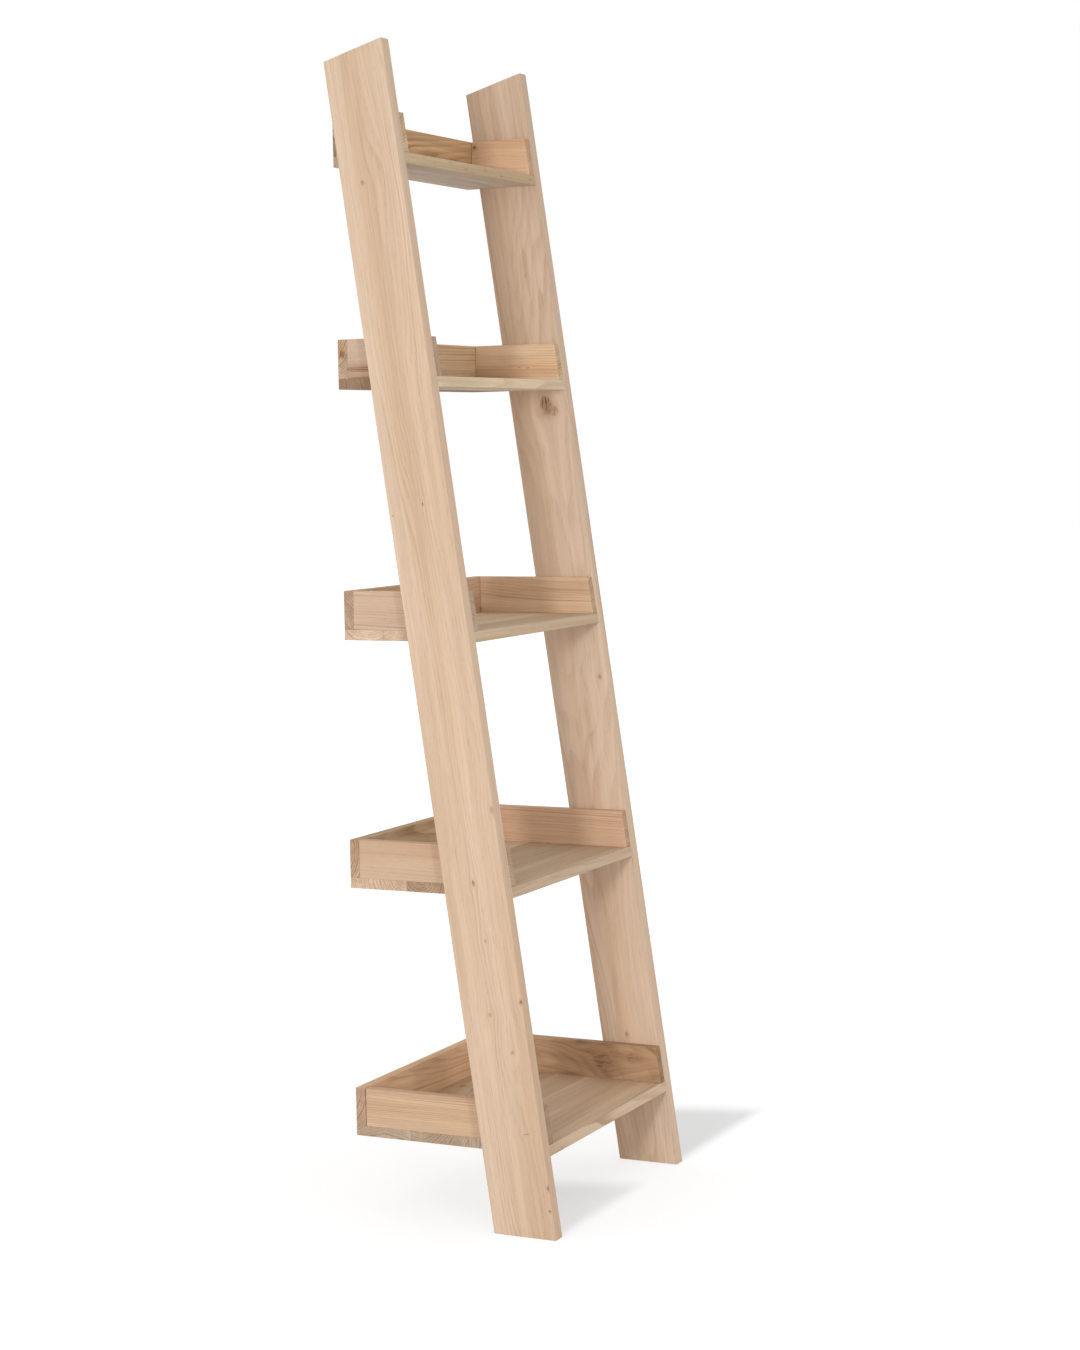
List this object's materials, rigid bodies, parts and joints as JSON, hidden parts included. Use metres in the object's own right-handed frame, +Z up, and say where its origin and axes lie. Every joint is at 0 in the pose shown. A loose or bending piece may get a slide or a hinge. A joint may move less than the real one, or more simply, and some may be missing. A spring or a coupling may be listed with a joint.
{
  "type": "ladder shelf",
  "caption": "Leaning ladder shelf in pale oak: raked side rails carry open-fronted, lipped trays that deepen towards the floor.",
  "frame": {"origin": "middle of the footprint's bounding box, on the floor", "axes": "+Z up, +Y towards the wall that the shelf leans on, so the open fronts face -Y; X is the width"},
  "size_m": [0.48, 0.35, 1.78],
  "materials": {
    "rail_oak": "sanded pale oak, unfinished, matt",
    "board_oak": "sanded pale oak staves, unfinished, matt",
    "lip_oak": "sanded pale oak, unfinished, matt",
    "dowel_beech": "plain turned beech"
  },
  "bodies": {
    "root": {"rail_left": "rail_oak", "rail_right": "rail_oak", "tray_1_board": "board_oak", "tray_1_back_lip": "lip_oak", "tray_1_left_lip": "lip_oak", "tray_1_right_lip": "lip_oak", "tray_1_left_front_dowel": "dowel_beech", "tray_1_left_back_dowel": "dowel_beech", "tray_1_right_front_dowel": "dowel_beech", "tray_1_right_back_dowel": "dowel_beech", "tray_2_board": "board_oak", "tray_2_back_lip": "lip_oak", "tray_2_left_lip": "lip_oak", "tray_2_right_lip": "lip_oak", "tray_2_left_front_dowel": "dowel_beech", "tray_2_left_back_dowel": "dowel_beech", "tray_2_right_front_dowel": "dowel_beech", "tray_2_right_back_dowel": "dowel_beech", "tray_3_board": "board_oak", "tray_3_back_lip": "lip_oak", "tray_3_left_lip": "lip_oak", "tray_3_right_lip": "lip_oak", "tray_3_left_front_dowel": "dowel_beech", "tray_3_left_back_dowel": "dowel_beech", "tray_3_right_front_dowel": "dowel_beech", "tray_3_right_back_dowel": "dowel_beech", "tray_4_board": "board_oak", "tray_4_back_lip": "lip_oak", "tray_4_left_lip": "lip_oak", "tray_4_right_lip": "lip_oak", "tray_4_left_front_dowel": "dowel_beech", "tray_4_left_back_dowel": "dowel_beech", "tray_4_right_front_dowel": "dowel_beech", "tray_4_right_back_dowel": "dowel_beech", "tray_5_board": "board_oak", "tray_5_back_lip": "lip_oak", "tray_5_left_lip": "lip_oak", "tray_5_right_lip": "lip_oak", "tray_5_left_front_dowel": "dowel_beech", "tray_5_left_back_dowel": "dowel_beech", "tray_5_right_front_dowel": "dowel_beech", "tray_5_right_back_dowel": "dowel_beech"}
  },
  "joints": []
}
